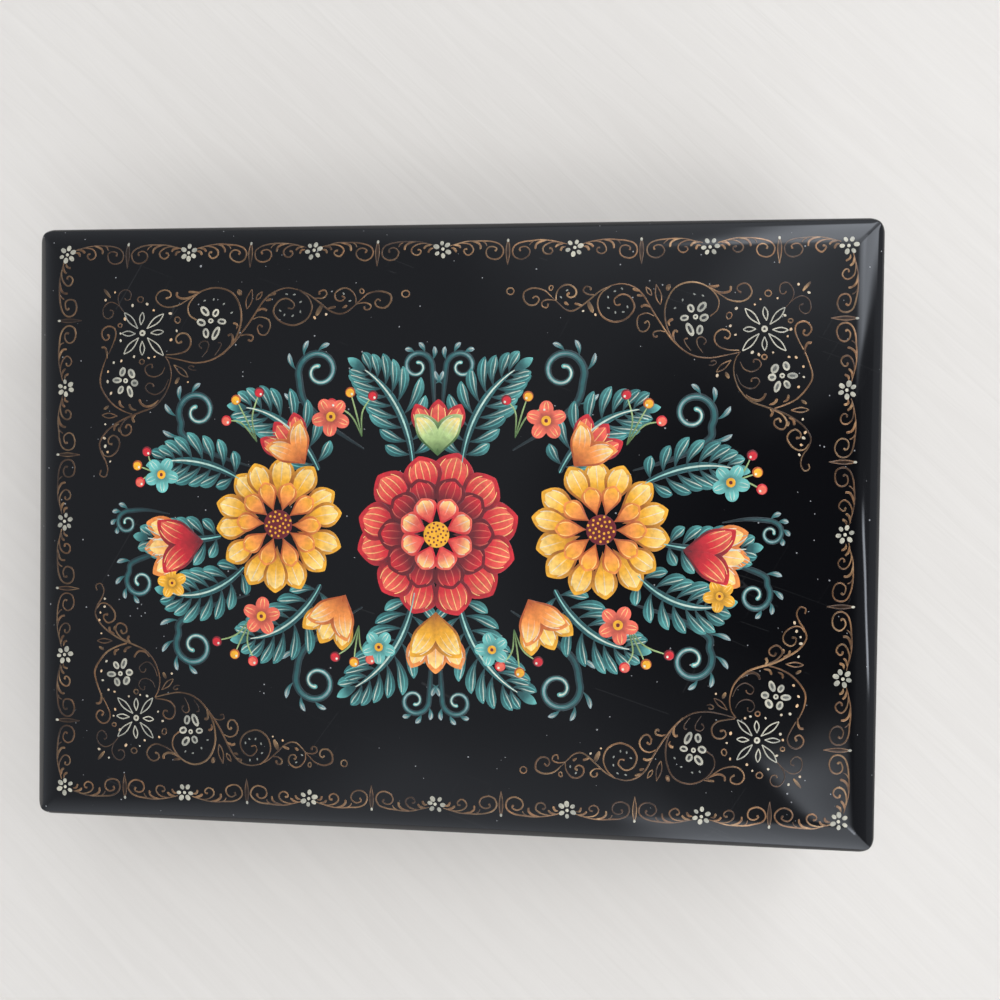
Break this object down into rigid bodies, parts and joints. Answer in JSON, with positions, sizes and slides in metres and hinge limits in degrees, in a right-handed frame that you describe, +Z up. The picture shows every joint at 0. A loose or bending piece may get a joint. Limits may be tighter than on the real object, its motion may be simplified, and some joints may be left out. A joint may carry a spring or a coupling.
{
  "type": "hinged lacquer box",
  "caption": "Flat rectangular black lacquer box of pressed board with a pillow-topped lid on rear hinges, an inner collar, and a gilt and floral painted lid.",
  "frame": {"origin": "middle of the underside of the closed box", "axes": "+X along the front, +Y towards the hinged rear, +Z up"},
  "size_m": [0.14, 0.1006, 0.0427],
  "materials": {
    "black_lacquer": "gloss",
    "red_lacquer": "gloss",
    "hinge_brass": "polished"
  },
  "bodies": {
    "box_body": {"body_wall": "black_lacquer", "bottom_panel": "black_lacquer", "inner_collar": "red_lacquer", "left_hinge_body_leaf": "hinge_brass", "right_hinge_body_leaf": "hinge_brass", "left_hinge_pin": "hinge_brass", "right_hinge_pin": "hinge_brass", "left_body_leaf_rivets": "hinge_brass", "right_body_leaf_rivets": "hinge_brass"},
    "lid": {"lid_rim": "black_lacquer", "lid_panel": "black_lacquer", "left_hinge_lid_leaf": "hinge_brass", "right_hinge_lid_leaf": "hinge_brass", "left_lid_leaf_rivets": "hinge_brass", "right_lid_leaf_rivets": "hinge_brass"}
  },
  "joints": [
    {"name": "lid_hinge", "type": "hinge", "parent": "box_body", "child": "lid", "pos_m": [0, 0.04875, 0.02715], "axis": [-1, 0, 0], "range_deg": [0, 95]}
  ]
}
